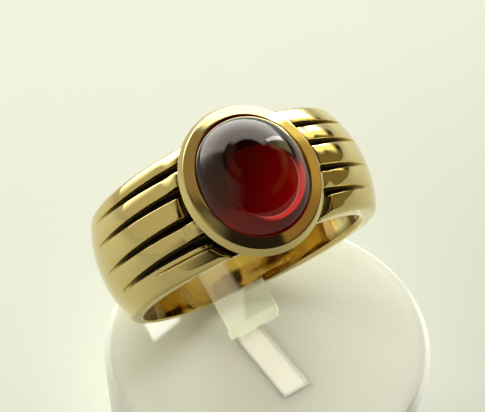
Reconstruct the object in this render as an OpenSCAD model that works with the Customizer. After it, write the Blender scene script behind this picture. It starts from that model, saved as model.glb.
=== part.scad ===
// Garnet ring on its display stand: a gold ring with five ribs on each shoulder and an oval smooth
// stone, standing on a frosted puck and held by a clear strip. Millimetres, Z up, -Y to the viewer.
// The origin is the centre of the puck's bottom face.

/* [Ring] */
// inside diameter of the finger hollow
bore_d = 17.5; // [14:0.1:22]
// outer radius of the band, about its own centre
band_r = 10.7; // [9.5:0.05:12]
// how far the band's outer centre stands to the right of the finger hollow's centre
band_side = 0.3; // [-0.6:0.01:0.6]
// how far the band's outer centre stands above the finger hollow's centre
band_rise = 0.35; // [0:0.01:1.2]
// half the band's width at the top
width_top = 4.2; // [2.5:0.02:6]
// half the band's width at the bottom
width_low = 3.85; // [1.5:0.02:6]
// how much lower the outer face is at the band's edges than at its middle
crown = 1.0; // [0.1:0.05:1.6]
// softening of the finger hollow's edges
bore_soft = 0.3; // [0.05:0.05:0.6]

/* [Ribs] */
// width of the middle rib
rib_middle = 1.99; // [1:0.01:3]
// width of the two ribs beside it
rib_beside = 1.63; // [0.8:0.01:2.4]
// place of the middle rib behind the band's middle
rib_place = 0.09; // [-0.5:0.01:0.5]
// turn of the rib pattern about the upright
rib_turn = -1.3; // [-4:0.1:4]
// turn of the rib pattern round the finger, towards the longer grooves
rib_shift = -9; // [-20:0.5:20]
// depth of the grooves next to the bezel
groove_depth = 1.45; // [0.4:0.05:1.9]
// radius of the rounded rib flanks
flank_r = 2.8; // [2:0.1:8]
// half the angle at the bottom of a groove
groove_angle = 5; // [2:0.5:25]
// angle from the pattern's top at which the inner grooves fade out
fade_inner = 70; // [50:1:88]
// angle from the pattern's top at which the outer grooves fade out
fade_outer = 67; // [40:1:88]

/* [Bezel] */
// half the opening's size across the finger
open_x = 3.79; // [2.5:0.05:6]
// half the opening's size along the finger
open_y = 4.35; // [2.5:0.05:7]
// radius of the oval's end arcs
end_r = 3.3; // [2:0.05:3.7]
// place of the bezel to the right of the finger hollow's centre
bezel_side = 0.1; // [-0.5:0.01:0.5]
// height of the opening's edge above the finger hollow's centre
rim_z = 11.32; // [10:0.02:13]
// level at which the bezel's cup has run into the band
cup_z = 8.5; // [8:0.05:10]

/* [Stone] */
// how far the stone's edge reaches under the rim
under_rim = 0.12; // [0.05:0.01:0.5]
// height of the dome over the opening's edge
dome_h = 2.6; // [1:0.05:4]
// how far the dome goes on below the opening's edge
dome_sunk = 0.5; // [0.2:0.05:1]
// level of the stone's flat base
stone_base = 9.9; // [9.6:0.05:10.5]
// gap between the stone and the metal
stone_gap = 0.04; // [0.02:0.01:0.15]

/* [Pose] */
// lean of the ring towards the viewer
lean = 26.7; // [0:0.1:45]
// sideways roll of the ring
roll = -4.0; // [-15:0.1:15]
// sideways place of the finger hollow's centre
ring_x = -1.26; // [-5:0.01:5]
// place of the finger hollow's centre behind the puck's middle
ring_y = 4.05; // [-2:0.01:8]
// height of the finger hollow's centre above the puck
ring_up = 10.32; // [9:0.01:14]

/* [Stand] */
// radius of the puck
puck_r = 12.85; // [8:0.05:20]
// height of the puck
puck_h = 15; // [8:0.5:30]
// softening of the puck's edges
puck_soft = 0.5; // [0.1:0.05:1.5]
// width of the clip strip
clip_w = 4.5; // [2:0.1:8]
// thickness of the clip strip
clip_t = 0.7; // [0.4:0.05:1.5]
// turn of the clip about the upright
clip_turn = 8; // [-20:0.5:20]
// place of the strip's front face behind the puck's middle
clip_y = 1.6; // [-2:0.1:6]
// height above the puck at which the strip bends back
clip_rise = 0.8; // [0.2:0.05:4]
// slope of the strip above its bend
clip_slope = 29; // [15:0.5:60]
// length of the sloping strip
clip_run = 12.4; // [6:0.1:20]
// depth of the strip in the puck
clip_deep = 6; // [2:0.5:12]
// width of the clip's foot
foot_w = 2.1; // [1:0.1:5]
// length of the foot in front of the strip
foot_run = 6.8; // [2:0.1:10]
// depth of the foot in the puck
foot_deep = 0.9; // [0.4:0.05:3]
// sideways place of the foot
foot_x = -0.85; // [-3:0.05:3]
// gap between the strip and its slot
clip_gap = 0.1; // [0.04:0.01:0.4]

/* [Hidden] */
$fn = 96;
e = 0.01;
bore_r = bore_d / 2;
end_y = open_y - end_r;
side_r = (open_x * open_x + end_y * end_y - end_r * end_r) / (2 * (open_x - end_r));
side_x = side_r - open_x;
bore_tilt = atan((width_top - width_low) / 22);
gold = [0.86, 0.66, 0.28];
red = [0.45, 0.02, 0.06];
frost = [0.9, 0.92, 0.9, 0.8];
clear = [0.92, 0.95, 0.96, 0.5];

// Drop of the crowned outer face at a distance from the band's middle
crown_r = (width_top * width_top + crown * crown) / (2 * crown);
function drop(y) = crown_r - sqrt(crown_r * crown_r - y * y);

// Groove rows: distance from the band's middle, and the angle at which the groove fades out
grooves = [
    [rib_place - rib_middle / 2 - rib_beside, fade_outer],
    [rib_place - rib_middle / 2, fade_inner],
    [rib_place + rib_middle / 2, fade_inner],
    [rib_place + rib_middle / 2 + rib_beside, fade_outer],
];

// Distance from the band's outer centre to the centre of the circle that a groove's bottom follows
function floor_z(g) =
    let (r = band_r - drop(g[0]), top = r - groove_depth)
    (top * top - r * r) / (2 * (top - r * cos(g[1])));

// Bezel rows: offset from the opening's oval, and height, from the bottom upwards
bezel_rows = [
    [-0.55, cup_z],
    [0.95, rim_z - 1.30],
    [1.10, rim_z - 0.97],
    [0.97, rim_z - 0.64],
    [0.78, rim_z - 0.34],
    [0.10, rim_z],
];

// Upright four-arc oval wall whose offset changes evenly from d0 to d1
module oval_wall(d0, d1, z0, z1) {
    far = 20;
    translate([0, 0, z0]) {
        intersection() {
            for_side(-1, d0, d1, z1 - z0);
            for_side(1, d0, d1, z1 - z0);
            translate([0, 0, -e])
            linear_extrude(z1 - z0 + 2 * e)
            polygon([
                [0, end_y],
                [far, end_y + far * end_y / side_x],
                [far, -end_y - far * end_y / side_x],
                [0, -end_y],
                [-far, -end_y - far * end_y / side_x],
                [-far, end_y + far * end_y / side_x],
            ]);
        }
        for (s = [-1, 1])
            translate([0, s * end_y, 0])
            cylinder(h = z1 - z0, r1 = end_r + d0, r2 = end_r + d1);
    }
}

// One of the two wide arcs of the oval, as a full cone
module for_side(s, d0, d1, h) {
    translate([s * side_x, 0, 0])
    cylinder(h = h, r1 = side_r + d0, r2 = side_r + d1);
}

// Crowned band before it is bored and grooved
module band_blank() {
    intersection() {
        translate([band_side, 0, band_rise])
        rotate([90, 0, 0])
        rotate_extrude($fn = 128)
        intersection() {
            translate([0, -width_top - 1])
            square([band_r + 1, 2 * width_top + 2]);
            translate([band_r - crown_r, 0])
            circle(r = crown_r, $fn = 128);
        }
        rotate([90, 0, 90])
        translate([0, 0, -20])
        linear_extrude(40)
        polygon([
            [-width_low, -11],
            [width_low, -11],
            [width_top, 11],
            [-width_top, 11],
        ]);
    }
}

// Groove cutter: a ring with two rounded flanks that meet at its inner edge
module groove(g) {
    z = floor_z(g);
    r = band_r - groove_depth - drop(g[0]) - z;
    translate([band_side, 0, band_rise])
    rotate([0, rib_shift, rib_turn])
    translate([0, g[0], z])
    rotate([90, 0, 0])
    rotate_extrude($fn = 128)
    difference() {
        translate([r - 0.2, -1.2])
        square([3.2, 2.4]);
        for (s = [-1, 1])
            translate([r - flank_r * sin(groove_angle), s * flank_r * cos(groove_angle)])
            circle(r = flank_r, $fn = 128);
    }
}

// Bezel wall and rim, solid
module bezel_blank() {
    translate([bezel_side, 0, 0])
    for (i = [0 : len(bezel_rows) - 2])
        oval_wall(bezel_rows[i][0], bezel_rows[i + 1][0], bezel_rows[i][1], bezel_rows[i + 1][1] + e);
}

// Stone in the ring's own frame, grown all round by a gap
module stone_body(g) {
    top = rim_z + dome_h + g;
    low = stone_base - g;
    ax = open_x + under_rim;
    ay = open_y + under_rim;
    h = dome_h + dome_sunk;
    rx = (ax * ax + h * h) / (2 * h) + g;
    ry = (ay * ay + h * h) / (2 * h) + g;
    translate([bezel_side, 0, 0])
    intersection() {
        translate([0, 0, top - ry])
        rotate([0, 90, 0])
        rotate_extrude($fn = 128)
        intersection() {
            translate([ry - rx, 0])
            circle(r = rx, $fn = 128);
            translate([0, -rx - 1])
            square([rx + ry + 1, 2 * rx + 2]);
        }
        oval_wall(under_rim + g, under_rim + g, low, top + 1);
    }
}

// Metal of the ring in its own frame
module ring_body() {
    difference() {
        union() {
            difference() {
                band_blank();
                for (g = grooves)
                    groove(g);
            }
            bezel_blank();
        }
        rotate([90, 0, 0])
        cylinder(h = 40, r = bore_r, center = true, $fn = 128);
        for (s = [0, 180])
            rotate([0, 0, s])
            translate([0, -(width_top + width_low) / 2 + bore_soft, 0])
            rotate([90 + bore_tilt, 0, 0])
            cylinder(h = 1.5, r1 = bore_r - 0.02, r2 = bore_r + 1.48, $fn = 128);
        stone_body(stone_gap);
        translate([bezel_side, 0, 0])
        oval_wall(-0.03, 0.1, rim_z - 0.6, rim_z + 1);
    }
}

// Pose of everything that belongs to the ring
module posed() {
    translate([ring_x, ring_y, puck_h + ring_up])
    rotate([lean, roll, 0])
    children();
}

// Side view of the strip, thickened by a gap
module strip_side(g) {
    c = cos(clip_slope);
    s = sin(clip_slope);
    k = (1 - s) / c;
    y0 = clip_y;
    t = clip_t;
    outline = [
        [y0, -clip_deep],
        [y0 + t, -clip_deep],
        [y0 + t, clip_rise - t * k],
        [y0 + t + clip_run * c, clip_rise - t * k + clip_run * s],
        [y0 + t + clip_run * c - t * s, clip_rise - t * k + clip_run * s + t * c],
        [y0, clip_rise],
    ];
    if (g == 0)
        polygon(outline);
    else
        translate([y0 - g, -clip_deep - g])
        square([t + 2 * g, clip_deep + g + 1]);
}

// Clip, or with a gap the slot that it stands in
module strip(g) {
    translate([0, 0, puck_h])
    rotate([0, 0, clip_turn])
    union() {
        translate([-clip_w / 2 - g, 0, 0])
        rotate([90, 0, 90])
        linear_extrude(clip_w + 2 * g)
        strip_side(g);
        translate([foot_x - foot_w / 2 - g, clip_y - foot_run - g, -foot_deep - g])
        cube([foot_w + 2 * g, foot_run + 2 * g + clip_t / 2, foot_deep + g + (g == 0 ? 0.04 : 1)]);
    }
}

module ring_metal() {
    color(gold)
    posed()
    ring_body();
}

module garnet() {
    color(red)
    posed()
    stone_body(0);
}

module stand_puck() {
    color(frost)
    difference() {
        union() {
            cylinder(h = puck_soft, r1 = puck_r - puck_soft, r2 = puck_r, $fn = 128);
            translate([0, 0, puck_soft])
            cylinder(h = puck_h - 2 * puck_soft, r = puck_r, $fn = 128);
            translate([0, 0, puck_h - puck_soft])
            cylinder(h = puck_soft, r1 = puck_r, r2 = puck_r - puck_soft, $fn = 128);
        }
        strip(clip_gap);
    }
}

module stand_clip() {
    color(clear)
    strip(0);
}

ring_metal();
garnet();
stand_puck();
stand_clip();
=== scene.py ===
"""Garnet ring on its display stand.

A yellow gold ring with five ribs on each shoulder and an oval smooth stone in a bezel. It leans on a
frosted puck and is held by a clear clip. Sizes in the panel are in millimetres, and the meshes are in
metres, in the part's own frame.
"""

import math

import bpy
import numpy as np
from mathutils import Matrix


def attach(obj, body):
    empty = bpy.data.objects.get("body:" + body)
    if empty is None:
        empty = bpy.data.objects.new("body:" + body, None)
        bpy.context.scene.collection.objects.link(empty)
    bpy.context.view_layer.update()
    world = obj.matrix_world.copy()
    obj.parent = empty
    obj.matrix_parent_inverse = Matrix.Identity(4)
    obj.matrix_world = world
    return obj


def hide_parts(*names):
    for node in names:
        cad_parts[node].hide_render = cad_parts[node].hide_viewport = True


bl_info = {
    "name": "Garnet ring on a display stand",
    "version": (1, 0, 0),
    "blender": (4, 5, 0),
    "location": "View3D > Sidebar > Ring",
    "description": "Makes the ring, its stone, its stand and the studio round them",
    "category": "Add Mesh",
}

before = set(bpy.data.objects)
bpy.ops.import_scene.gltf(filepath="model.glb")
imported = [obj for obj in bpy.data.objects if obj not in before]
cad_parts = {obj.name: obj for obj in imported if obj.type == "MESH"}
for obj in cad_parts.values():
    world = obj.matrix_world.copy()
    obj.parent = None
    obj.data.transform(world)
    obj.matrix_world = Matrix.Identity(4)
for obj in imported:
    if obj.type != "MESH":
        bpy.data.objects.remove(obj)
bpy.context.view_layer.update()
MM = 0.001
BLACK = (0.0, 0.0, 0.0)


# Sizes and colours that a user would change


def length(name, description, default):
    return bpy.props.FloatProperty(name=name, description=description, default=default, min=0.0)


def degrees(name, description, default):
    return bpy.props.FloatProperty(
        name=name, description=description, default=math.radians(default), subtype="ANGLE", unit="ROTATION"
    )


def colour(name, description, default):
    return bpy.props.FloatVectorProperty(
        name=name, description=description, default=default, subtype="COLOR", size=3, min=0.0, max=1.0
    )


class RingSizes(bpy.types.PropertyGroup):
    """Sizes of the ring, in millimetres, in the ring's own frame."""

    bore: length("Finger hollow", "Radius of the finger hollow", 8.75)
    band: length("Band radius", "Outer radius of the band about its own centre", 10.7)
    aside: length("Band aside", "How far the band's outer centre stands to the right", 0.3)
    rise: length("Band rise", "Height of the band's outer centre over the hollow's centre", 0.35)
    half_top: length("Half width, top", "Half the band's width at the top", 4.2)
    half_low: length("Half width, bottom", "Half the band's width at the bottom", 3.85)
    crown: length("Crown", "How much lower the outer face is at the edges", 1.0)
    edge: length("Edge rounding", "Rounding of the band's outer edges", 0.36)
    groove: length("Groove depth", "Depth of the grooves next to the bezel", 1.45)
    floor: length("Groove floor", "Half the width of a groove's floor", 0.07)
    lip: length("Lip softness", "Softening of the ribs' edges", 0.16)
    swell: length("Rib swell", "How much lower a rib is at its edges than in its middle", 0.13)
    open_x: length("Opening across", "Half the bezel's opening across the finger", 3.79)
    open_y: length("Opening along", "Half the bezel's opening along the finger", 4.35)
    setting: length("Bezel aside", "How far the bezel stands to the right", 0.1)
    rim: length("Rim height", "Height of the opening's edge over the hollow's centre", 11.32)
    dome: length("Dome height", "Height of the stone's dome over the opening's edge", 2.6)
    lean: degrees("Lean", "Lean towards the viewer", 26.7)
    roll: degrees("Roll", "Sideways roll", -4.0)
    place: bpy.props.FloatVectorProperty(
        name="Place", description="Centre of the finger hollow", default=(-1.26, 4.05, 25.32), size=3
    )


class StandSizes(bpy.types.PropertyGroup):
    """Sizes of the stand, in millimetres."""

    puck_h: length("Puck height", "Height of the puck", 15.0)
    puck_r: length("Puck radius", "Radius of the puck", 12.85)
    clip_w: length("Clip width", "Width of the clip strip", 4.5)
    clip_t: length("Clip thickness", "Thickness of the clip strip", 0.7)
    clip_y: length("Clip place", "Front face of the clip's upright behind the puck's middle", 1.6)
    clip_rise: length("Clip rise", "Height of the clip's bend over the puck's top", 0.8)
    clip_run: length("Clip run", "Length of the clip behind its bend", 12.4)
    clip_bend: length("Clip bend", "Radius of the clip's bend", 0.42)
    clip_slope: degrees("Clip slope", "Slope of the clip behind its bend", 29.0)
    clip_turn: degrees("Clip turn", "Turn of the clip about the upright", 8.0)


class Finishes(bpy.types.PropertyGroup):
    """Colours of the finishes."""

    gold: colour("Gold", "Polished yellow gold", (0.70, 0.57, 0.25))
    # The same dark colour paints shade on the bezel's seat, under the stone
    stain_and_shade: colour("Groove stain", "Dark stain left at the bottom of the grooves", (0.035, 0.02, 0.008))
    stone: colour("Stone", "Deep red of the stone", (0.55, 0.004, 0.004))
    frost: colour("Frosted acrylic", "Pale frosted acrylic", (0.88, 0.90, 0.80))
    paper: colour("Backdrop", "Pale backdrop", (0.965, 1.0, 0.89))


# Shader nodes written as expressions


class Wire:
    """A socket in a node tree, on which arithmetic adds Math nodes."""

    def __init__(self, tree, socket):
        self.tree = tree
        self.socket = socket

    def maths(self, operation, *others, flip=False):
        made = self.tree.nodes.new("ShaderNodeMath")
        made.operation = operation
        terms = [self, *others]
        if flip:
            terms.reverse()
        for put, term in zip(made.inputs, terms):
            join(self.tree, term, put)
        return Wire(self.tree, made.outputs[0])

    def __add__(self, other):
        return self.maths("ADD", other)

    __radd__ = __add__

    def __sub__(self, other):
        return self.maths("SUBTRACT", other)

    def __rsub__(self, other):
        return self.maths("SUBTRACT", other, flip=True)

    def __mul__(self, other):
        return self.maths("MULTIPLY", other)

    __rmul__ = __mul__

    def __pow__(self, other):
        return self.maths("POWER", other)

    def clamped(self):
        made = self.maths("ADD", 0.0)
        made.socket.node.use_clamp = True
        return made


def join(tree, term, put):
    """Links a wire, or sets a plain number, on an input."""
    if isinstance(term, Wire):
        tree.links.new(term.socket, put)
    else:
        put.default_value = term


class Finish:
    """Nodes of a material or a world; a name makes a new material."""

    def __init__(self, owner):
        self.material = bpy.data.materials.new(owner) if isinstance(owner, str) else owner
        self.material.use_nodes = True
        self.tree = self.material.node_tree
        self.tree.nodes.clear()
        world = isinstance(self.material, bpy.types.World)
        self.out = self.tree.nodes.new("ShaderNodeOutputWorld" if world else "ShaderNodeOutputMaterial")

    def node(self, kind, settings=None, output=0, **inputs):
        """Adds a node: its settings first, then its inputs by name (underscores for spaces) or number."""
        made = self.tree.nodes.new(kind)
        for key, value in (settings or {}).items():
            setattr(made, key, value)
        for key, value in inputs.items():
            key = key.replace("_", " ")
            put = made.inputs[int(key[1:])] if key[0] == "n" and key[1:].isdigit() else made.inputs[key]
            join(self.tree, value, put)
        return Wire(self.tree, made.outputs[output])

    def place(self, scale=(1.0, 1.0, 1.0)):
        """Object coordinates, stretched by a Mapping node."""
        coords = self.node("ShaderNodeTexCoord", output="Object")
        return self.node("ShaderNodeMapping", Vector=coords, Scale=scale)

    def noise(self, scale, detail=3.0, rough=0.5, stretch=(1.0, 1.0, 1.0)):
        return self.node(
            "ShaderNodeTexNoise", Vector=self.place(stretch), Scale=scale, Detail=detail, Roughness=rough
        )

    def blend(self, amount, low, high):
        """Colour mix from low to high; n6 and n7 are a Mix node's colour inputs."""
        return self.node(
            "ShaderNodeMix", {"data_type": "RGBA"}, output=2, n0=amount, n6=rgba(low), n7=rgba(high)
        )

    def mark(self, name):
        """Reads a number that the mesh carries."""
        return self.node("ShaderNodeAttribute", {"attribute_name": name}, output="Fac")

    def span(self, value, start, stop):
        """Goes smoothly from 0 to 1 as a value passes from start to stop."""
        return self.node(
            "ShaderNodeMapRange", {"interpolation_type": "SMOOTHSTEP"}, n0=value, n1=start, n2=stop
        )

    def step(self, value, start, width):
        return self.span(value, start, start + width)

    def vector(self, operation, *terms, output=0):
        """Vector Math on one or two vectors; output 1 is its number."""
        inputs = {f"n{number}": term for number, term in enumerate(terms)}
        return self.node("ShaderNodeVectorMath", {"operation": operation}, output, **inputs)

    def bump(self, height, strength, distance):
        return self.node("ShaderNodeBump", Height=height, Strength=strength, Distance=distance)

    def surface(self, **inputs):
        shader = self.node("ShaderNodeBsdfPrincipled", **inputs)
        self.tree.links.new(shader.socket, self.out.inputs["Surface"])
        return self.material


def rgba(value):
    return value if isinstance(value, Wire) else (*tuple(value)[:3], 1.0)


def toned(rgb, red, green, blue):
    """A colour with each channel times its own share."""
    return (rgb[0] * red, rgb[1] * green, rgb[2] * blue)


def gold_finish(f, name, rough):
    """Gold: slight warmth changes, soft wear and stain deep in the grooves. The same dark colour paints shade
    on the bezel's seat.

    The finger hollow has painted shade, with painted spots of light. The seat has a pale patch under the
    stone, painted for light that comes up there, with a painted faint red glow.
    """
    m = Finish(name)
    # Painted light, given off as emission: a red glow in the seat's well, and faint and full spots of light
    # in the finger hollow
    painted_red_glow, faint_painted_light, full_painted_light = (0.60, 0.06, 0.036), (1.0, 0.68, 0.19), (0.90, 0.97, 0.45)
    wear = m.noise(900.0, 4.0)
    fine = m.noise(5200.0, 5.0, 0.62, (1.0, 0.35, 1.0))
    # Stain in the band's grooves, and painted shade on the bezel's seat
    deep = m.mark("recess")
    # Pale paint in the seat's well, for light coming up under the stone
    pale = m.mark("painted_backlight")
    # Painted highlights and painted light in the finger hollow
    glow = m.mark("glow")
    painted_spot = m.blend(glow, faint_painted_light, full_painted_light)
    wear_and_shade = m.blend(wear, f.gold, toned(f.gold, 0.97, 0.93, 0.86))
    # Painted shade in the finger hollow: the gold is toned darker there
    wear_and_shade = m.blend(m.mark("hollow"), wear_and_shade, toned(f.gold, 0.74, 0.68, 0.66))
    return m.surface(
        Base_Color=m.blend(pale, m.blend(deep, wear_and_shade, f.stain_and_shade), (0.95, 0.80, 0.75)),
        Metallic=(1.0 - deep * 0.7 - pale).clamped(),
        Roughness=(rough + wear * 0.06 + deep * 0.45 + pale * 0.7).clamped(),
        Emission_Color=m.blend(glow, m.blend(m.mark("lit"), BLACK, painted_red_glow), painted_spot),
        Emission_Strength=0.5,
        Normal=m.bump(fine, 0.06, 0.00002),
    )


def stone_finish(f):
    """Clear deep red stone: smooth glass, painted dark and dull as shade where the seat hides it.

    Underneath, painted light shines on its bevel, with a painted pale line along the bevel's inner edge.
    """
    m = Finish("garnet_stone")
    painted_bevel_light, painted_line_light = (0.26, 0.11, 0.08), (0.25, 1.0, 1.0)
    cloud = m.noise(420.0, 3.0)
    # Painted shade where the seat hides the stone
    hidden = m.mark("hidden")
    clear = m.blend(cloud, f.stone, toned(f.stone, 0.8, 0.5, 0.6))
    return m.surface(
        Base_Color=m.blend(hidden, clear, (0.036, 0.017, 0.012)),
        Metallic=(hidden * 0.9).clamped(),
        Roughness=(cloud * 0.03 + hidden * 0.5).clamped(),
        Specular_Tint=(0.60, 0.50, 0.43, 1.0),
        # Painted light, given off as emission: the bevel's red shine and a pale line along its inner edge
        Emission_Color=m.blend(m.mark("gleam"), m.blend(m.mark("shiny"), BLACK, painted_bevel_light), painted_line_light),
        Emission_Strength=3.0,
        IOR=1.60,
        Transmission_Weight=1.0,
        Normal=m.bump(m.noise(2600.0, 2.0), 0.02, 0.00001),
    )


# Painted wedge of light on the puck's top, thrown there by the ring: its ends in X, its back edge, and its
# front edge with that edge's slope
PAINTED_WEDGE = {"left": -8.3, "right": -5.8, "back": 5.6, "front": 6.4, "slope": 0.36}


def frosted_finish(f, stand):
    """Frosted acrylic: sand-blasted and slightly translucent, with painted shade at its rim and its back.

    A painted wedge of light, as the ring would throw it, lies on its top beside the ring, and painted light
    gathers in the side wall at the front right.
    """
    m = Finish("sanded_acrylic")
    reach = stand.puck_r * MM
    grain = m.noise(9000.0, 3.0, 0.6)
    cloud = m.noise(160.0, 2.0)
    x, y = (m.node("ShaderNodeSeparateXYZ", output=axis, Vector=m.place()) for axis in (0, 1))
    radius = (x * x + y * y) ** 0.5
    # Painted shade at the rim
    rim = m.step(radius, reach - 1.25 * MM, 1.1 * MM)
    # Painted light in the side wall at the front right
    wall = m.step(radius, reach - 0.65 * MM, 0.4 * MM) * m.step(x - y * 0.6, 12.2 * MM, 2.4 * MM) * 0.80
    # Painted shade towards the back and at the rim
    painted_shade = (m.step(y, -2.0 * MM, 11.0 * MM) + rim * 0.8).clamped()
    # Painted wedge of light that the ring throws on the top
    front = m.step(y - x * PAINTED_WEDGE["slope"], PAINTED_WEDGE["front"] * MM, 0.5 * MM)
    back = 1.0 - m.step(y, PAINTED_WEDGE["back"] * MM, 0.6 * MM)
    ends = m.step(x, PAINTED_WEDGE["left"] * MM, 0.4 * MM) * (1.0 - m.step(x, PAINTED_WEDGE["right"] * MM, 0.8 * MM))
    light = (front * back * ends + wall).clamped()
    pale = m.blend(cloud, f.frost, toned(f.frost, 0.95, 0.95, 0.95))
    return m.surface(
        Base_Color=m.blend(painted_shade, pale, toned(f.frost, 0.80, 0.80, 0.80)),
        # Painted light, given off as emission
        Emission_Color=m.blend(light, BLACK, (1.0, 1.0, 0.97)),
        Emission_Strength=0.5,
        Roughness=(0.42 + grain * 0.16).clamped(),
        Specular_IOR_Level=0.2,
        Subsurface_Weight=0.6,
        Subsurface_Radius=(1.0, 1.0, 0.9),
        Subsurface_Scale=0.004,
        Normal=m.bump(grain, 0.15, 0.00003),
    )


# Places on the clip, in millimetres along it from its bend
INTO_HOLLOW = 2.3
DEEP_IN_HOLLOW = 5.2


def clear_finish():
    """Clear moulded plastic with a milky veil, painted as light that the plastic gives off.

    The painted veil is thinner inside the hollow and missing on its right there. A facet outside has painted
    shade, greyer, and deep in the hollow the plastic has painted light.
    """
    m = Finish("moulded_clear_plastic")
    # Painted light given off by the milky veil, in three strengths
    painted_veils = {"outside": (0.13, 0.13, 0.10), "facet": (0.06, 0.06, 0.045), "inside": (0.055, 0.052, 0.034)}
    scuff = m.noise(1500.0, 4.0, 0.6, (1.0, 0.3, 1.0))
    across, along = m.mark("across"), m.mark("along")
    inside = m.step(along, INTO_HOLLOW, 0.25)
    bare = m.step(across, 0.02, 0.03) * inside
    # Painted shade: a greyer facet outside the hollow
    facet = m.step(across - along * 0.129, -0.19, 0.03) * (1.0 - inside) * m.step(along, -0.1, 0.2)
    # Painted light deep in the hollow, so that the clip shows bright in the gold's reflection
    deep = m.step(along, DEEP_IN_HOLLOW, 0.8)
    painted_veil = m.blend(inside, m.blend(facet, painted_veils["outside"], painted_veils["facet"]), painted_veils["inside"])
    painted_veil = m.blend(bare, painted_veil, BLACK)
    clear = m.blend(scuff, (0.99, 0.99, 0.95), (0.95, 0.96, 0.91))
    return m.surface(
        Base_Color=m.blend(facet, clear, (0.92, 0.93, 0.84)),
        Roughness=(0.06 + scuff * 0.12).clamped(),
        IOR=1.10,
        Alpha=(1.0 - bare * 0.95).clamped(),
        Transmission_Weight=0.90,
        Emission_Color=m.blend(deep, painted_veil, (0.22, 0.21, 0.18)),
        Emission_Strength=1.0,
        Normal=m.bump(scuff, 0.05, 0.00002),
    )


def milky_finish():
    """Milky plastic of the clip's foot, with painted light in its middle that fades out towards its near end.
    """
    m = Finish("milky_plastic")
    cloud = m.noise(700.0, 3.0)
    across, along = m.mark("across"), m.mark("along")
    off_middle = (across + 0.03).maths("ABSOLUTE")
    # Painted light in the foot's middle, fading out towards its near end
    middle = (1.0 - m.step(off_middle, 0.32, 0.12)) * m.step(along, 0.03, 0.4)
    bright = m.blend(cloud, (0.95, 0.97, 0.88), (0.90, 0.92, 0.82))
    return m.surface(
        Base_Color=m.blend(middle, (0.88, 0.90, 0.80), bright),
        Roughness=(0.40 + cloud * 0.2).clamped(),
        # Painted light, given off as emission
        Emission_Color=m.blend(middle, BLACK, (0.20, 0.195, 0.155)),
        Emission_Strength=1.0,
    )


# Painted light on the backdrop, in metres with X squeezed: where its bright middle is, and how far it
# reaches
PAINTED_BRIGHT = {"squeeze": 0.3, "middle": (0.0155, 0.068, 0.0), "reach": 0.1255}


def paper_finish(f):
    """Matt pale backdrop with a faint woven tooth.

    Light from a window behind is painted into its colour, so it darkens away from a bright middle.
    """
    m = Finish("pale_backdrop")
    tooth = m.noise(2200.0, 3.0)
    broad = m.noise(18.0, 2.0)
    off_middle = m.vector("SUBTRACT", m.place((PAINTED_BRIGHT["squeeze"], 1.0, 1.0)), PAINTED_BRIGHT["middle"])
    # Painted shade away from the bright middle
    painted_shade = m.span(m.vector("LENGTH", off_middle, output=1), 0.0, PAINTED_BRIGHT["reach"])
    return m.surface(
        Base_Color=m.blend((painted_shade + broad * 0.04).clamped(), f.paper, toned(f.paper, 0.585, 0.585, 0.585)),
        Roughness=(0.8 + tooth * 0.15).clamped(),
        Normal=m.bump(tooth, 0.12, 0.0001),
    )


# Surfaces


def mesh_from_grid(name, points, wrap_rows=False, wrap_cols=False, start=None, end=None, marks=None):
    """Mesh from a grid of points, rows by columns.

    Each cell of the grid is one face. A wrap closes the rows or columns on themselves. start and end
    are single points that close the first and the last row with triangles. marks holds grids of numbers
    that the finishes read as attributes.
    """
    rows, cols = points.shape[:2]
    index = np.arange(rows * cols).reshape(rows, cols)
    down = np.roll(index, -1, 0) if wrap_rows else index[1:]
    up = index if wrap_rows else index[:-1]
    if wrap_cols:
        a, b = up, np.roll(up, -1, 1)
        c, d = np.roll(down, -1, 1), down
    else:
        a, b, c, d = up[:, :-1], up[:, 1:], down[:, 1:], down[:, :-1]
    quads = np.stack([a, d, c, b], -1).reshape(-1, 4)
    corners = [quads.ravel()]
    counts = [np.full(len(quads), 4)]
    everything = [points.reshape(-1, 3)]
    total = rows * cols
    for pole, row, flip in ((start, index[0], False), (end, index[-1], True)):
        if pole is None:
            continue
        nxt = np.roll(row, -1)
        tip = np.full(cols, total)
        fan = np.stack([nxt, row, tip] if flip else [row, nxt, tip], -1)
        corners.append(fan.ravel())
        counts.append(np.full(len(fan), 3))
        everything.append(np.asarray(pole, float).reshape(1, 3))
        total += 1
    flat = np.concatenate(corners)
    counts = np.concatenate(counts)
    places = np.concatenate(everything)
    mesh = bpy.data.meshes.new(name)
    mesh.vertices.add(len(places))
    mesh.vertices.foreach_set("co", places.astype(np.float32).ravel())
    mesh.loops.add(len(flat))
    mesh.loops.foreach_set("vertex_index", flat.astype(np.int32))
    mesh.polygons.add(len(counts))
    mesh.polygons.foreach_set("loop_start", (np.cumsum(counts) - counts).astype(np.int32))
    mesh.update(calc_edges=True)
    mesh.validate()
    mesh.shade_smooth()
    for key, grid in (marks or {}).items():
        layer = mesh.attributes.new(key, "FLOAT", "POINT")
        poles = np.repeat(grid[[0, -1]].mean(1), [start is not None, end is not None])
        layer.data.foreach_set("value", np.append(grid, poles).astype(np.float32))
    return mesh


def add_piece(name, mesh, finish, node):
    """Puts a mesh into the scene as a piece that stands for a node."""
    piece = bpy.data.objects.new(name, mesh)
    bpy.context.scene.collection.objects.link(piece)
    mesh.materials.append(finish)
    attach(piece, "root")
    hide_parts(node)


def posed(points, ring):
    """From the ring's own frame in millimetres to the part's frame in metres.

    The points lean about X, then roll about Y, and are then moved to their place.
    """
    cl, sl = math.cos(ring.lean), math.sin(ring.lean)
    cr, sr = math.cos(ring.roll), math.sin(ring.roll)
    lean = np.array([[1, 0, 0], [0, cl, -sl], [0, sl, cl]])
    roll = np.array([[cr, 0, sr], [0, 1, 0], [-sr, 0, cr]])
    return (points @ (roll @ lean).T + np.array(ring.place)) * MM


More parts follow.
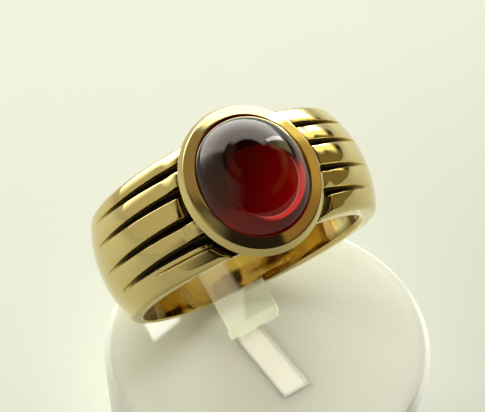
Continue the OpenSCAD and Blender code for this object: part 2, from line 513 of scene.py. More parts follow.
def table(names, *rows):
    """Rows of a table, each by the names of its columns."""
    return [dict(zip(names.split(), row)) for row in rows]


def column(rows, key):
    """One column of a table, as an upright array."""
    return np.array([row[key] for row in rows], float)[:, None]


# Grooves: place behind the band's middle, and the angle from the pattern's top at which a groove fades out
GROOVES = table(
    "place fade",
    (-2.535, 67.0),
    (-0.905, 70.0),
    (1.085, 70.0),
    (2.715, 67.0),
)

# Rib ends at the bezel: rib number from the viewer, side, width of the gap before the wall, share by which
# the gap widens for each millimetre towards the viewer, rise to the wall
RIB_ENDS = table(
    "rib side gap slant rise",
    (-2, -1, 0.60, -0.35, 0.0),
    (-1, -1, 0.02, 0.0, 0.40),
    (0, -1, 0.62, 0.50, 0.0),
    (1, -1, 0.02, 0.0, 0.40),
    (2, -1, 0.02, 0.0, 0.20),
    (-2, 1, 0.90, 0.0, 0.0),
    (-1, 1, 0.12, 0.0, 0.15),
    (0, 1, 0.25, 0.0, 0.10),
    (1, 1, 0.10, 0.0, 0.15),
    (2, 1, 0.20, 0.0, 0.0),
)
# Beside the bezel: distance of its wall outside the opening, reach of a rise, drop of a rounded rib end, and
# how much a slanted gap may narrow or widen
BESIDE = {"wall": 1.02, "rise": 1.1, "drop": 1.3, "least": 0.3, "most": 1.7}
NO_GAP = 0.02
# Fine cut line beside the near groove on the left: distance from the groove's wall, depth, where it starts,
# and the angle over which it deepens
LEDGE = {"away": 0.36, "depth": 0.32, "from": math.radians(-57.0), "soft": 0.2}
# Stretches of the band's grid: close together beside the bezel, wide apart at the bottom
STRETCHES = table(
    "from to rows",
    (-180, -82, 66),
    (-82, -38, 74),
    (-38, -17, 64),
    (-17, 17, 24),
    (17, 38, 64),
    (38, 66, 48),
    (66, 180, 76),
)
# Places of the grid's columns: shares of a groove's wall and of its lip, and millimetres about the cut line
WALL_PLACES = (0.25, 0.5, 0.75, 0.9)
LIP_PLACES = (-0.02, 0.0, 0.02, 0.045, 0.08, 0.12, 0.17)
LEDGE_PLACES = (-0.09, -0.05, -0.02, 0.0, 0.02, 0.05, 0.09)
# The band's top is cut down to the bezel's seat, out to a margin past the opening, where the cut rises again
SEAT_CUT = {"height": 9.30, "margin": 0.35, "soft": 0.3, "step": 3.0}
# Swell of the ribs: its reach from a groove's middle, and the groove depth that gives all of it
SWELL = {"reach": 0.8, "depth": 0.7}
# Stain in the grooves: depth at which it starts, and the depth over which it darkens
STAIN = {"from": 0.05, "reach": 0.35}
# Least thickness of the metal, and the outer edges' rounding as a share of the thickness, at most
THINNEST = 0.3
OUTER_EDGE_SHARE = 0.45
# Rounding of the finger hollow's edges, at most, and as a share of the metal's thickness
HOLLOW_EDGE = {"most": 0.40, "share": 0.42}
HOLLOW_WAVE = 0.035
# Painted shade in the finger hollow, on its darker stretch: angles where it begins and ends, and how softly
PAINTED_SHADE_STRETCH = {"from": math.radians(-118.0), "to": math.radians(95.0), "soft": 0.4}
# Columns from the grid's end: the nearer two thirds of the hollow, and all of it, each with its near edge
PAINTED_SHADE_COLUMNS = slice(-19, -5)
PAINTED_LIGHT_COLUMNS = slice(-23, -4)
# Painted highlights and painted light in the finger hollow: angle round the finger and reach about it, place
# across and reach, share
PAINTED_HOLLOW_LIGHTS = table(
    "at turn y wide share",
    (108.0, 16.0, -2.9, 1.1, 0.95),
    (92.0, 30.0, -3.3, 1.6, 0.16),
    (-112.0, 26.0, -3.2, 1.8, 0.24),
)
# Pitch of the ribs, turn and shift of their pattern, steepness of a groove's wall, a height past any cut, and
# the height over which the band's width changes
RIB_PITCH = 1.72
PATTERN_TURN = math.radians(-1.3)
PATTERN_SHIFT = math.radians(-9.0)
STEEP = 5.0
NO_CUT = 99.0
WIDTH_REACH = 11.0


def soft_least(a, b, k):
    """Smaller of two values with a rounding of width k where they cross."""
    k = np.maximum(k, 1e-6)
    h = np.clip(0.5 + 0.5 * (b - a) / k, 0.0, 1.0)
    return b * (1 - h) + a * h - k * h * (1 - h)


def ease(t):
    """Smooth step from 0 to 1."""
    t = np.clip(t, 0.0, 1.0)
    return t * t * (3 - 2 * t)


def fall(ring, y):
    """How much lower the crowned outer face is at a distance from the band's middle."""
    r = (ring.half_top**2 + ring.crown**2) / (2 * ring.crown)
    return r - np.sqrt(r * r - y * y)


def groove_depth(ring, groove, angle):
    """Depth of a groove at an angle: its bottom is a circle that meets the outer face at the fade angle."""
    face = ring.band - fall(ring, groove["place"])
    top = face - ring.groove
    end = math.radians(groove["fade"])
    z = (top * top - face * face) / (2 * (top - face * math.cos(end)))
    phi = angle - PATTERN_SHIFT
    bottom = z * np.cos(phi) + np.sqrt((top - z) ** 2 - (z * np.sin(phi)) ** 2)
    return np.where(np.cos(phi) > math.cos(end), np.maximum(face - bottom, 0.0), 0.0)


def off_opening(ring, x, y):
    """Distance outside the bezel's opening, to first order: (q - 1) / slope of q, with q = 1 on its edge."""
    u, v = (x - ring.setting) / ring.open_x, y / ring.open_y
    q = np.maximum(np.hypot(u, v), 1e-3)
    return (q - 1.0) * q / np.hypot(u / ring.open_x, v / ring.open_y)


def rib_end(ring, x, y, rib):
    """Change of the outer face beside the bezel: a rib ends in a quarter round, or rises to the wall.

    The round drops by 1.3 * (1 - sqrt(1 - n**2)), where n goes from 0 at the gap's edge to 1 at the wall.
    """
    off = off_opening(ring, x, y) - BESIDE["wall"]
    gap, rise = np.full_like(x, NO_GAP), np.zeros_like(x)
    for end in RIB_ENDS:
        here = (rib == end["rib"]) & (np.sign(x) == end["side"])
        slanted = 1.0 - end["slant"] * (y - RIB_PITCH * end["rib"])
        wide = end["gap"] * np.clip(slanted, BESIDE["least"], BESIDE["most"])
        gap, rise = np.where(here, wide, gap), np.where(here, end["rise"], rise)
    near = np.clip(1.0 - off / gap, 0.0, 1.0)
    drop = (1.0 - np.sqrt(1.0 - near**2)) * np.where(gap > 2.5 * NO_GAP, BESIDE["drop"], 0.0)
    return rise * ease(1.0 - off / BESIDE["rise"]) - drop


def band_rows():
    """Angles round the finger, evenly spaced within each stretch."""
    parts = [np.linspace(part["from"], part["to"], part["rows"], endpoint=False) for part in STRETCHES]
    return np.radians(np.concatenate(parts))[:, None]


def band_columns(ring, angle, half, depths):
    """Distances across the outer face, one row per angle, drawn together at the groove lips and the cut line.

    A groove's middle lies at place * cos(turn) + radius * sin(angle) * sin(turn), so the whole pattern is
    turned a little.
    """
    side = []
    for depth in depths:
        wall = depth / STEEP
        lip = np.minimum(1.0, (wall + 0.01) / 0.06)
        cols = [0.0 * wall, 0.5 * ring.floor + 0 * wall, ring.floor + 0 * wall]
        cols += [ring.floor + wall * t for t in WALL_PLACES]
        cols += [ring.floor + wall + lip * t for t in LIP_PLACES]
        cols = np.concatenate(cols, 1)
        side.append(np.maximum.accumulate(cols, 1) + np.arange(cols.shape[1]) * 1e-4)
    turned = ring.band * np.sin(angle) * math.sin(PATTERN_TURN)
    middles = [groove["place"] * math.cos(PATTERN_TURN) + turned for groove in GROOVES]
    ledge = middles[0] - depths[0] / STEEP - LEDGE["away"]
    soft = np.minimum(ring.edge, OUTER_EDGE_SHARE * (ring.band - fall(ring, half) - ring.bore))
    reach = half - soft
    t = np.linspace(0, 1, 8)[None, 1:-1]
    near = ledge + np.array(LEDGE_PLACES)
    columns = [-reach + (near[:, :1] + reach) * t, near[:, :-1]]
    last = near[:, -1:]
    for mid, cols in zip(middles, side):
        first = mid - cols[:, -1:]
        columns += [last + (first - last) * t, mid - cols[:, :0:-1], mid + cols]
        last = mid + cols[:, -1:]
    columns += [last + (reach - last) * t]
    return np.concatenate(columns, 1), soft, middles


def outer_face(ring, angle, y, depths, middles):
    """Distance of the outer face and of the plain crowned face from the band's own centre.

    Each rib's face falls by swell * (1 - distance / 0.8)**2 towards a groove. Each groove, and the fine cut
    line on the left, is a valley with walls STEEP times as high as wide. The face is the least of them all,
    softened by soft_least().
    """
    plain = ring.band - fall(ring, y)
    face, cut = plain, np.full_like(plain, NO_CUT)
    for depth, mid in zip(depths, middles):
        away = np.abs(y - mid)
        ratio = np.clip(depth / SWELL["depth"], 0.0, 1.0)
        face = face - ring.swell * ratio * np.clip(1.0 - away / SWELL["reach"], 0.0, 1.0) ** 2
    for groove, depth, mid in zip(GROOVES, depths, middles):
        away = np.abs(y - mid)
        bottom = ring.band - fall(ring, groove["place"]) - depth
        valley = bottom + STEEP * np.maximum(away - ring.floor, 0.0)
        cut = np.minimum(cut, np.where(depth > 0, valley, NO_CUT))
    line = LEDGE["depth"] * ease((angle - LEDGE["from"]) / LEDGE["soft"]) * (angle < 0)
    away = np.abs(y - middles[0] + depths[0] / STEEP + LEDGE["away"])
    cut = np.minimum(cut, np.where(line > 0, plain - line + STEEP * away, NO_CUT))
    shallow = np.clip(sum(depths) / 0.3, 0.0, 1.0)
    return soft_least(face, cut, ring.lip * shallow + 1e-5), plain


def band_surface(ring):
    """Closed band: for each angle round the finger, one loop round the metal's section.

    The outer face comes from outer_face() and rib_end(), its edges turn in by a quarter arc, the sides are
    flat and the finger hollow's edges are rounded. The hollow's radius is
    bore + 0.035 * (1 + sin(8a + 1.3y + 0.6) * sin(5a - 0.9y + 2)) * (1 - (y / half)**4) at angle a.
    """
    angle = band_rows()
    rows = len(angle)
    depths = [groove_depth(ring, g, angle) for g in GROOVES]
    share = (ring.rise + ring.band * np.cos(angle) + WIDTH_REACH) / (2 * WIDTH_REACH)
    half = ring.half_low + (ring.half_top - ring.half_low) * share
    y, soft, middles = band_columns(ring, angle, half, depths)
    arc = np.linspace(0, np.pi / 2, 9)[None, :]
    turn_y, turn_r = half - soft + soft * np.sin(arc), soft * (1 - np.cos(arc))
    y = np.concatenate([-turn_y[:, ::-1], y, turn_y], 1)
    sink = np.concatenate([turn_r[:, ::-1], np.zeros((rows, y.shape[1] - 18)), turn_r], 1)
    radius, plain = outer_face(ring, angle, y, depths, middles)
    radius = radius - sink
    rib = sum((y > mid).astype(int) for mid in middles) - 2
    x = ring.aside + radius * np.sin(angle)
    upper = np.cos(angle) > 0
    radius = radius + np.where(upper, rib_end(ring, x, y, rib), 0.0)
    x, z = ring.aside + radius * np.sin(angle), ring.rise + radius * np.cos(angle)
    outside = ease((off_opening(ring, x, y) - SEAT_CUT["margin"]) / SEAT_CUT["soft"])
    z = np.where(upper, np.minimum(z, SEAT_CUT["height"] + SEAT_CUT["step"] * outside), z)
    recess = np.clip((plain - sink - radius - ring.swell - STAIN["from"]) / STAIN["reach"], 0.0, 1.0)
    far = np.hypot(x, z)
    out = np.maximum(far, ring.bore + THINNEST) / far
    x, z = x * out, z * out
    way = np.arctan2(x[:, -1:], z[:, -1:])
    thick = np.hypot(x[:, -1:], z[:, -1:]) - ring.bore
    small = np.minimum(HOLLOW_EDGE["most"], thick * HOLLOW_EDGE["share"])
    inner = np.linspace(np.pi / 2, 0, 7)[None, :]
    in_y, in_r = half - small + small * np.sin(inner), ring.bore + small * (1 - np.cos(inner))
    t = np.linspace(0, 1, 5)[None, 1:-1]
    side_r = ring.bore + thick + (small - thick) * t
    bore_y = np.linspace(1, -1, 15)[None, 1:-1] * (half - small)
    side_y = np.repeat(half, 3, 1)
    rest_y = np.concatenate([side_y, in_y, bore_y, -in_y[:, ::-1], -side_y], 1)
    wave = np.sin(8 * angle + 1.3 * bore_y + 0.6) * np.sin(5 * angle - 0.9 * bore_y + 2.0)
    hollow = ring.bore + HOLLOW_WAVE * (1 + wave) * (1 - (bore_y / half) ** 4)
    rest_r = np.concatenate([side_r, in_r, hollow, in_r[:, ::-1], side_r[:, ::-1]], 1)
    x = np.concatenate([x, rest_r * np.sin(way)], 1)
    z = np.concatenate([z, rest_r * np.cos(way)], 1)
    marks = {"recess": np.concatenate([recess, np.zeros_like(rest_y)], 1)}
    # Painted shade in the finger hollow, over a stretch of angles
    marks["hollow"] = np.zeros_like(marks["recess"])
    begun = ease((angle - PAINTED_SHADE_STRETCH["from"]) / PAINTED_SHADE_STRETCH["soft"])
    ended = ease((angle - PAINTED_SHADE_STRETCH["to"]) / PAINTED_SHADE_STRETCH["soft"])
    marks["hollow"][:, PAINTED_SHADE_COLUMNS] = begun * (1 - ended)
    # Painted highlights and painted light in the finger hollow, given off by the gold as emission
    marks["glow"] = np.zeros_like(marks["recess"])
    for painted_spot in PAINTED_HOLLOW_LIGHTS:
        turn = np.abs(angle - math.radians(painted_spot["at"])) / math.radians(painted_spot["turn"])
        off = np.abs(rest_y[:, PAINTED_LIGHT_COLUMNS] - painted_spot["y"]) / painted_spot["wide"]
        marks["glow"][:, PAINTED_LIGHT_COLUMNS] += painted_spot["share"] * ease(1 - turn) * ease(1 - off)
    return np.stack([x, np.concatenate([y, rest_y], 1), z], -1), marks, ()


def oval(ring, turn, offset, height):
    """Oval at an offset outwards from the opening's edge and at a height.

    It is the ellipse (a cos t, b sin t) moved along its own normals.
    """
    nx, ny = np.cos(turn) / ring.open_x, np.sin(turn) / ring.open_y
    size = np.hypot(nx, ny)
    x = ring.setting + ring.open_x * np.cos(turn) + offset * nx / size
    y = ring.open_y * np.sin(turn) + offset * ny / size
    return np.stack(np.broadcast_arrays(x, y, height), -1)


# Bezel profile from its floor, over the rim, to its underside: offset, height, softening of the corner
BEZEL = table(
    "offset height soft",
    (-3.60, 9.48, 0.0),
    (-2.13, 9.48, 0.02),
    (-1.70, 9.66, 0.02),
    (-1.68, 9.84, 0.01),
    (0.16, 9.84, 0.02),
    (0.16, 10.82, 0.04),
    (0.000, 11.185, 0.01),
    (-0.030, 11.300, 0.012),
    (0.030, 11.346, 0.02),
    (0.79, 10.99, 0.07),
    (1.11, 10.33, 0.10),
    (0.95, 10.02, 0.10),
    (-0.45, 8.96, 0.05),
    (-2.60, 8.92, 0.0),
)


def rounded_profile(rows, straight=4, bend=6):
    """Path through a table's points whose corners are softened.

    Each corner is a parabola from a point before it to a point after it, both at the softening distance.
    """
    corners = np.hstack([column(rows, "offset"), column(rows, "height")])
    soft = column(rows, "soft")
    step = np.diff(corners, axis=0)
    unit = step / np.hypot(*step.T)[:, None]
    before = corners[1:-1] - unit[:-1] * soft[1:-1]
    after = corners[1:-1] + unit[1:] * soft[1:-1]
    t = np.linspace(0, 1, bend)[None, :, None]
    bends = (1 - t) ** 2 * before[:, None] + 2 * t * (1 - t) * corners[1:-1, None] + t * t * after[:, None]
    starts = np.vstack([corners[:1], after])
    ends = np.vstack([before, corners[-1:]])
    w = np.linspace(0, 1, straight, endpoint=False)[None, :, None]
    lines = starts[:, None] * (1 - w) + ends[:, None] * w
    path = [lines[0]]
    for line, curve in zip(lines[1:], bends):
        path += [curve[:-1], line]
    return np.vstack([*path, corners[-1:]])


# Painted shade on the bezel's seat, under the stone: height below which it starts, softness, and the offset
# inwards of which it ends
SEAT_SHADE = {"below": 11.17, "soft": 0.05, "inside": -1.675}
# Round well in the seat, painted pale for light that comes up under the stone: its centre from the bezel's
# centre, its radius where the offset is nought, the offset inwards of which the oval turns round and how
# softly, and the offset of its edge
WELL = {"aside": 0.45, "ahead": -0.30, "radius": 3.85, "round": -1.2, "soft": 0.4, "edge": -2.08}
# Painted faint red glow in the well: its direction, and its level in the middle, rise for each millimetre and
# least
WELL_PAINTED_LIGHT = {"towards": math.radians(-30.0), "middle": 0.28, "rise": 0.34, "least": 0.12}


def bezel_surface(ring, cols=320):
    """Bezel cup: the rounded profile carried round the oval, with marks for the painted shade on its seat and
    the painted light in its well.

    Well inside the opening the oval turns into a circle of the well's radius plus the offset, about the
    well's centre. The painted glow in the well rises evenly towards one side.
    """
    profile = rounded_profile(BEZEL)
    offset, height = profile[:, :1], profile[:, 1:]
    turn = np.linspace(0, 2 * np.pi, cols, endpoint=False)[None, :]
    inside = np.arange(len(profile))[:, None] < np.argmax(height)
    points = oval(ring, turn, offset, height)
    radius = WELL["radius"] + offset
    well_x = ring.setting + WELL["aside"] + radius * np.cos(turn)
    well_y = radius * np.sin(turn) + WELL["ahead"]
    well_round = np.stack(np.broadcast_arrays(well_x, well_y, height), -1)
    share = (inside * ease((WELL["round"] - offset) / WELL["soft"]))[..., None]
    points = points * (1 - share) + well_round * share
    # Painted shade on the seat and the pocket's wall, under the stone
    stain_and_shade = ease((SEAT_SHADE["below"] - height) / SEAT_SHADE["soft"]) * (offset > SEAT_SHADE["inside"])
    stain_and_shade = np.repeat(inside * stain_and_shade, cols, 1)
    # Pale paint in the well, for light coming up under the stone
    well = np.repeat(inside * ease((WELL["edge"] - offset) / 0.04), cols, 1)
    towards = radius * np.cos(turn - WELL_PAINTED_LIGHT["towards"])
    # Painted faint red light in the well, rising towards one side
    lit = well * np.clip(WELL_PAINTED_LIGHT["middle"] + WELL_PAINTED_LIGHT["rise"] * towards, WELL_PAINTED_LIGHT["least"], 1.0)
    tips = points[0].mean(0), points[-1].mean(0)
    return points, {"recess": stain_and_shade, "painted_backlight": well, "lit": lit}, tips


# Girdle of the stone from its dome down to its base: offset from the dome's edge, height
GIRDLE = table(
    "offset height",
    (0.0, 10.6),
    (0.0, 10.5),
    (0.0, 10.3),
    (-0.01, 10.2),
    (-0.05, 10.12),
    (-0.14, 10.08),
    (-0.3, 10.07),
)
# Ovals of the stone's underside from the seat inwards: half width across and along, place aside, height, and
# how much painted shade shows where the seat hides it, how much painted light shines on its bevel, and how
# much its painted pale line shows
UNDERSIDE = table(
    "across along aside height hidden shiny gleam",
    (1.90, 2.26, 0.14, 10.05, 1, 0, 0),
    (1.84, 2.19, 0.12, 10.03, 1, 0.8, 0),
    (1.73, 2.07, 0.07, 9.97, 1, 1, 0),
    (1.61, 1.95, 0.01, 9.91, 1, 0.9, 0),
    (1.60, 1.94, 0.0, 9.905, 1, 0.3, 1),
    (1.54, 1.88, 0.0, 9.90, 0.6, 0, 1),
    (1.51, 1.85, 0.0, 9.90, 0, 0, 0),
    (1.00, 1.25, 0.0, 9.90, 0, 0, 0),
    (0.50, 0.60, 0.0, 9.90, 0, 0, 0),
)
# The dome's edge: how far it lies outside the opening, and below the opening's edge
DOME_EDGE = {"reach": 0.12, "sink": 0.5}
# Share of the dome's radius past which painted shade shows, where the seat hides it
DOME_SHADE_FROM = 0.960
# Middle of the underside, from the bezel's centre, and its height
UNDER = {"aside": 0.48, "ahead": -0.28, "height": 9.9}
# Painted light on one side of the bevel: that side's direction, and how far round the painted shine and the
# painted line go
BEVEL_SIDE = math.radians(-54.0)
SHINE_REACH = math.radians(72.0)
LINE_REACH = math.radians(78.0)


def stone_surface(ring, cols=256, rings=72):
    """Cabochon: a toric dome, curved more across than along, over a straight girdle and a bevelled base.

    A dome point's height is apex - ry + sqrt((ry - rx + sqrt(rx*rx - x*x))**2 - y*y). The girdle and the
    base are ovals from the tables, each with its own height. The marks paint shade where the seat hides
    the stone, and light on one side of the bevel.
    """
    turn = np.linspace(0, 2 * np.pi, cols, endpoint=False)[None, :]
    reach = DOME_EDGE["reach"]
    edge = oval(ring, turn, reach, 0.0)[0]
    ax, ay, h = ring.open_x + reach, ring.open_y + reach, ring.dome + DOME_EDGE["sink"]
    rx, ry = (ax * ax + h * h) / (2 * h), (ay * ay + h * h) / (2 * h)
    apex = ring.rim + ring.dome
    t = np.sin(np.linspace(0, np.pi / 2, rings + 1)[1:])[:, None]
    x, y = (edge[None, :, 0] - ring.setting) * t, edge[None, :, 1] * t
    across = np.sqrt(np.maximum(rx * rx - x * x, 0.0))
    z = apex - ry + np.sqrt(np.maximum((ry - rx + across) ** 2 - y * y, 0.0))
    dome = np.stack([x + ring.setting, y, z], -1)
    wall = oval(ring, turn, reach + column(GIRDLE, "offset"), column(GIRDLE, "height"))
    cx, cy = ring.setting + UNDER["aside"], UNDER["ahead"]
    under_x = cx + column(UNDERSIDE, "aside") + column(UNDERSIDE, "across") * np.cos(turn)
    under_y = cy + column(UNDERSIDE, "along") * np.sin(turn)
    under = np.stack(np.broadcast_arrays(under_x, under_y, column(UNDERSIDE, "height")), -1)
    points = np.concatenate([dome, wall, under])
    above = len(dome) + len(wall)
    facing = np.cos(turn[0] - BEVEL_SIDE)
    # Shares round the underside: painted shade, the bevel's painted shine and its painted line
    shares = {
        "hidden": np.ones(cols),
        "shiny": ease((facing - math.cos(SHINE_REACH)) / 0.5),
        "gleam": ease((facing - math.cos(LINE_REACH)) / 0.5) * 0.5,
    }
    marks = {}
    for key, share in shares.items():
        marks[key] = np.zeros(points.shape[:2])
        marks[key][above:] = column(UNDERSIDE, key) * share
    # Painted shade on the dome's edge under the bezel's lip, and on the girdle
    marks["hidden"][:len(dome)] = ease((t - DOME_SHADE_FROM) / 0.010)
    marks["hidden"][len(dome):above] = 1.0
    return points, marks, ((ring.setting, 0, apex), (cx, cy, UNDER["height"]))


def rounded_strip(line, wide, thick, corner, start):
    """Strip with rounded edges: a rounded rectangle carried along a path in the side view.

    The section stands square to the path, and it shrinks a little at both ends. The marks give the place
    across the strip, in widths, and the run along it from a start, in millimetres.
    """
    line = np.asarray(line, float)
    along = np.gradient(line, axis=0)
    along /= np.hypot(*along.T)[:, None]
    normal = np.stack([-along[:, 1], along[:, 0]], 1)
    a = np.linspace(0, np.pi / 2, 6)
    quarter = np.stack([np.cos(a), np.sin(a)], 1) * corner
    cx, cy = wide / 2 - corner, thick / 2 - corner
    flat = np.linspace(cx, -cx, 18)[1:-1]
    face = np.stack([flat, np.full_like(flat, thick / 2)], 1)
    section = np.concatenate([
        quarter + [cx, cy],
        face,
        quarter[::-1] * [-1, 1] + [-cx, cy],
        quarter * [-1, -1] + [-cx, -cy],
        -face,
        quarter[::-1] * [1, -1] + [cx, -cy],
    ])
    less = np.zeros(len(line))
    less[[0, -1]] = corner * 0.8
    x = section[None, :, 0] * (1 - 2 * less / wide)[:, None]
    off = section[None, :, 1] * (1 - 2 * less / thick)[:, None]
    y, z = line[:, :1] + normal[:, :1] * off, line[:, 1:] + normal[:, 1:] * off
    run = np.append(0.0, np.cumsum(np.hypot(*np.diff(line, axis=0).T)))[:, None] - start
    return np.stack([x, y, z], -1), {"across": x / wide, "along": run + 0 * x}


# Points of the clip's side view: heights of its upright over the puck's top, and shares of its slope
UPRIGHT_HEIGHTS = (-5.9, -5.8, -3.0, -1.0)
SLOPE_SHARES = (0.08, 0.16, 0.24, 0.32, 0.4, 0.5, 0.6, 0.8, 0.985, 1.0)


def strip_line(stand):
    """Side view of the clip: up out of the puck, then a short arc, then back through the finger hollow.

    The arc has the bend's radius and touches both straight stretches.
    """
    slope, half = stand.clip_slope, stand.clip_t / 2
    upright = stand.clip_y + half
    knee = stand.clip_rise - half * (1 - math.sin(slope)) / math.cos(slope)
    back = np.pi / 2 - slope
    into = stand.clip_bend * math.tan(back / 2)
    a = np.linspace(0, back, 11)
    curve_y = upright + stand.clip_bend * (1 - np.cos(a))
    curve = np.stack([curve_y, knee - into + stand.clip_bend * np.sin(a)], 1)
    way = np.array([math.cos(slope), math.sin(slope)])
    far = np.array([upright, knee]) + (stand.clip_run + half) * way
    out = curve[-1] + (far - curve[-1]) * np.array(SLOPE_SHARES)[:, None]
    low = np.array([[upright, height] for height in UPRIGHT_HEIGHTS])
    return np.vstack([low, curve, out])


def stood(points, stand):
    """From the clip's own frame to the part's frame: turned about Z, on the puck's top, in metres."""
    c, s = math.cos(stand.clip_turn), math.sin(stand.clip_turn)
    turn = np.array([[c, -s, 0], [s, c, 0], [0, 0, 1]])
    return (points @ turn.T + np.array([0, 0, stand.puck_h])) * MM


# Straight pieces of the clip's foot: places of the near points along Y, height over the puck's top, section
FEET = table(
    "name near height wide thick corner",
    ("clip_foot", (-5.2, -5.12, -4.8), -0.47, 2.1, 0.92, 0.05),
    ("clip_foot_face", (-5.34, -5.33, -4.9), 0.010, 2.36, 0.014, 0.004),
)
FOOT_PLACES = (-4.5, -3.5, -2.0, 1.4, 1.48)
FOOT_ASIDE = -0.85
# The clip strip: rounding of its edges, and its run from its low end up to the bend
CLIP_CORNER = 0.14
CLIP_START = 6.6


def add_ring_piece(name, surface, finish, node):
    """Adds a piece in the ring's pose, with its rows closed on themselves or by a surface's two tips."""
    ring = bpy.context.scene.ring_sizes
    points, marks, tips = surface(ring)
    start, end = (posed(np.array(tip), ring) for tip in tips) if tips else (None, None)
    mesh = mesh_from_grid(name, posed(points, ring), not tips, True, start, end, marks)
    add_piece(name, mesh, finish, node)


def add_strip(name, line, section, finish, stand, aside=0.0, start=0.0):
    """Adds a piece of the clip: a rounded strip along a side view, closed at both ends."""
    points, marks = rounded_strip(line, *section, start)
    points = stood(points + [aside, 0.0, 0.0], stand)
    near, far = (stood(np.array([aside, *end]), stand) for end in (line[0], line[-1]))
    mesh = mesh_from_grid(name, points, wrap_cols=True, start=near, end=far, marks=marks)
    add_piece(name, mesh, finish, "stand_clip")


# Operators


class RING_OT_band(bpy.types.Operator):
    """Add the ribbed gold band"""

    bl_idname = "ring.band"
    bl_label = "Band"

    def execute(self, context):
        gold = gold_finish(context.scene.ring_finishes, "polished_gold", 0.035)
        add_ring_piece("band", band_surface, gold, "ring_metal")
        return {"FINISHED"}


class RING_OT_bezel(bpy.types.Operator):
    """Add the oval bezel and its seat"""

    bl_idname = "ring.bezel"
    bl_label = "Bezel"

    def execute(self, context):
        gold = gold_finish(context.scene.ring_finishes, "worn_gold", 0.07)
        add_ring_piece("bezel", bezel_surface, gold, "ring_metal")
        return {"FINISHED"}


class RING_OT_cabochon(bpy.types.Operator):
    """Add the oval smooth stone"""

    bl_idname = "ring.cabochon"
    bl_label = "Cabochon"

    def execute(self, context):
        stone = stone_finish(context.scene.ring_finishes)
        add_ring_piece("cabochon", stone_surface, stone, "garnet")
        return {"FINISHED"}


class RING_OT_stand(bpy.types.Operator):
    """Finish the frosted puck and add the clear clip"""

    bl_idname = "ring.stand"
    bl_label = "Stand"

    def execute(self, context):
        scene = context.scene
        stand = scene.ring_stand
        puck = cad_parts["stand_puck"]
        puck.data.materials[0] = frosted_finish(scene.ring_finishes, stand)
        section = (stand.clip_w, stand.clip_t, CLIP_CORNER)
        add_strip("clip_strip", strip_line(stand), section, clear_finish(), stand, start=CLIP_START)
        milky = milky_finish()
        for foot in FEET:
            line = [[y, foot["height"]] for y in foot["near"] + FOOT_PLACES]
            section = (foot["wide"], foot["thick"], foot["corner"])
            add_strip(foot["name"], line, section, milky, stand, aside=FOOT_ASIDE)
        return {"FINISHED"}


# Half the floor's width, in metres
FLOOR_REACH = 0.6
# Camera: focal length and sensor width in millimetres, place in metres, turns in degrees
CAMERA = {
    "lens": 96.57,
    "sensor": 36.0,
    "place": (-0.0288666, -0.0549214, 0.097429),
    "turns": (42.8002, 0.0089, -25.935),
}


class RING_OT_studio(bpy.types.Operator):
    """Add the floor, the soft lights and the camera"""

    bl_idname = "ring.studio"
    bl_label = "Studio"

    def execute(self, context):
        scene = context.scene
        side = np.linspace(-FLOOR_REACH, FLOOR_REACH, 9)
        gx, gy = np.meshgrid(side, side, indexing="ij")
        mesh = mesh_from_grid("floor", np.stack([gx, gy, np.zeros_like(gx)], -1)[:, ::-1])
        floor = bpy.data.objects.new("floor", mesh)
        scene.collection.objects.link(floor)
        mesh.materials.append(paper_finish(scene.ring_finishes))
        scene.world = soft_room()
        scene.view_settings.view_transform = "Standard"
        lens = bpy.data.cameras.new("camera")
        lens.lens, lens.sensor_width = CAMERA["lens"], CAMERA["sensor"]
        lens.clip_start, lens.clip_end = 0.005, 20.0
        camera = bpy.data.objects.new("camera", lens)
        scene.collection.objects.link(camera)
        camera.location = CAMERA["place"]
        camera.rotation_euler = [math.radians(turn) for turn in CAMERA["turns"]]
        scene.camera = camera
        return {"FINISHED"}


# Colours of the light, from pale to deep
TINTS = {
    "day": (0.99, 1.0, 0.95),
    "cool": (0.94, 1.0, 0.94),
    "lamp": (1.0, 0.99, 0.95),
    "cream": (1.0, 0.96, 0.72),
    "straw": (1.0, 0.96, 0.55),
    "plaster": (1.0, 0.90, 0.75),
    "honey": (1.0, 0.90, 0.42),
    "sand": (1.0, 0.76, 0.42),
    "amber": (1.0, 0.82, 0.30),
    "ochre": (1.0, 0.76, 0.28),
    "orange": (1.0, 0.64, 0.22),
}
DIM_ROOM = (0.022, 0.017, 0.012)
# Bright parts of the room seen from the ring: azimuth of the middle from X, half angle across, lowest and
# highest elevation, softness up and down, softness across (all in degrees), tint and strength
ROOM = table(
    "at half low high soft aside tint strength",
    (87, 42, -6, 45, 6, 14, "day", 3.7),
    (38, 7, 4, 45, 6, 14, "day", 3.7),
    (66, 39, 45, 54.5, 6, 16, "day", 3.7),
    (85, 55, -6, 25, 14, 14, "cool", 0.8),
    (30, 3, 8, 42, 3, 3, "lamp", 10.0),
    (21, 8, 4, 26, 6, 6, "straw", 1.7),
    (20, 9, 26, 44, 6, 8, "honey", 1.0),
    (168, 48, -6, 42, 12, 44, "cream", 0.60),
    (160, 52, 48, 62, 6, 8, "sand", 0.33),
    (-6, 22, -4, 16, 9, 9, "amber", 0.22),
    (-32, 42, 20, 32, 4, 6, "orange", 0.31),
    (0, 22, 20, 36, 4, 24, "ochre", 0.27),
    (180, 180, 60, 91, 8, 8, "plaster", 0.02),
)


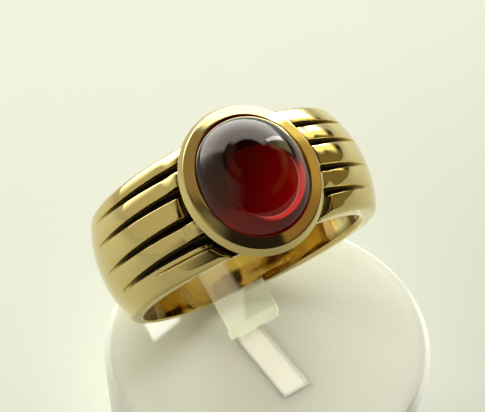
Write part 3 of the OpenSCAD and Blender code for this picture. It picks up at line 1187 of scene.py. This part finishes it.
def soft_room():
    """World of a few soft bright patches in a dim room, by azimuth and elevation."""
    world = bpy.data.worlds.new("soft_room")
    m = Finish(world)
    way = m.node("ShaderNodeTexCoord", output="Generated")
    rise = m.node("ShaderNodeSeparateXYZ", output=2, Vector=way).maths("ARCSINE").maths("DEGREES")
    total = DIM_ROOM
    for patch in ROOM:
        at, tint = math.radians(patch["at"]), TINTS[patch["tint"]]
        upright, level = patch["soft"] / 2, patch["aside"] / 2
        ahead = m.vector("DOT_PRODUCT", way, (math.cos(at), math.sin(at), 0), output=1)
        aside = m.vector("DOT_PRODUCT", way, (-math.sin(at), math.cos(at), 0), output=1)
        turn = aside.maths("ARCTAN2", ahead).maths("DEGREES").maths("ABSOLUTE")
        lit = m.span(turn, patch["half"] + level, patch["half"] - level)
        lit = lit * m.span(rise, patch["low"] - upright, patch["low"] + upright)
        lit = lit * m.span(rise, patch["high"] + upright, patch["high"] - upright)
        glow = m.node("ShaderNodeVectorMath", {"operation": "SCALE"}, n0=tint, Scale=lit * patch["strength"])
        total = m.vector("ADD", total, glow)
    back = m.node("ShaderNodeBackground", Color=total, Strength=1.0)
    m.tree.links.new(back.socket, m.out.inputs["Surface"])
    return world


class RING_PT_panel(bpy.types.Panel):
    """Ring and stand"""

    bl_idname = "RING_PT_panel"
    bl_label = "Ring on a stand"
    bl_space_type = "VIEW_3D"
    bl_region_type = "UI"
    bl_category = "Ring"

    def draw(self, context):
        scene = context.scene
        parts = {"Ring": scene.ring_sizes, "Stand": scene.ring_stand, "Finishes": scene.ring_finishes}
        for title, group in parts.items():
            box = self.layout.box()
            box.label(text=title)
            for key in group.__annotations__:
                box.prop(group, key)
        for step in STEPS:
            self.layout.operator(step.bl_idname)


STEPS = (RING_OT_band, RING_OT_bezel, RING_OT_cabochon, RING_OT_stand, RING_OT_studio)
GROUPS = (("ring_sizes", RingSizes), ("ring_stand", StandSizes), ("ring_finishes", Finishes))


def register():
    for _, group in GROUPS:
        bpy.utils.register_class(group)
    for step in STEPS:
        bpy.utils.register_class(step)
    bpy.utils.register_class(RING_PT_panel)
    for key, group in GROUPS:
        setattr(bpy.types.Scene, key, bpy.props.PointerProperty(type=group))


def unregister():
    for key, _ in GROUPS:
        delattr(bpy.types.Scene, key)
    bpy.utils.unregister_class(RING_PT_panel)
    for step in reversed(STEPS):
        bpy.utils.unregister_class(step)
    for _, group in reversed(GROUPS):
        bpy.utils.unregister_class(group)


def plain(box):
    return [[float(v) for v in corner] for corner in box]


def main():
    """Makes every piece in order."""
    register()
    bpy.ops.ring.band()
    bpy.ops.ring.bezel()
    bpy.ops.ring.cabochon()
    bpy.ops.ring.stand()
    bpy.ops.ring.studio()


if __name__ == "__main__":
    main()
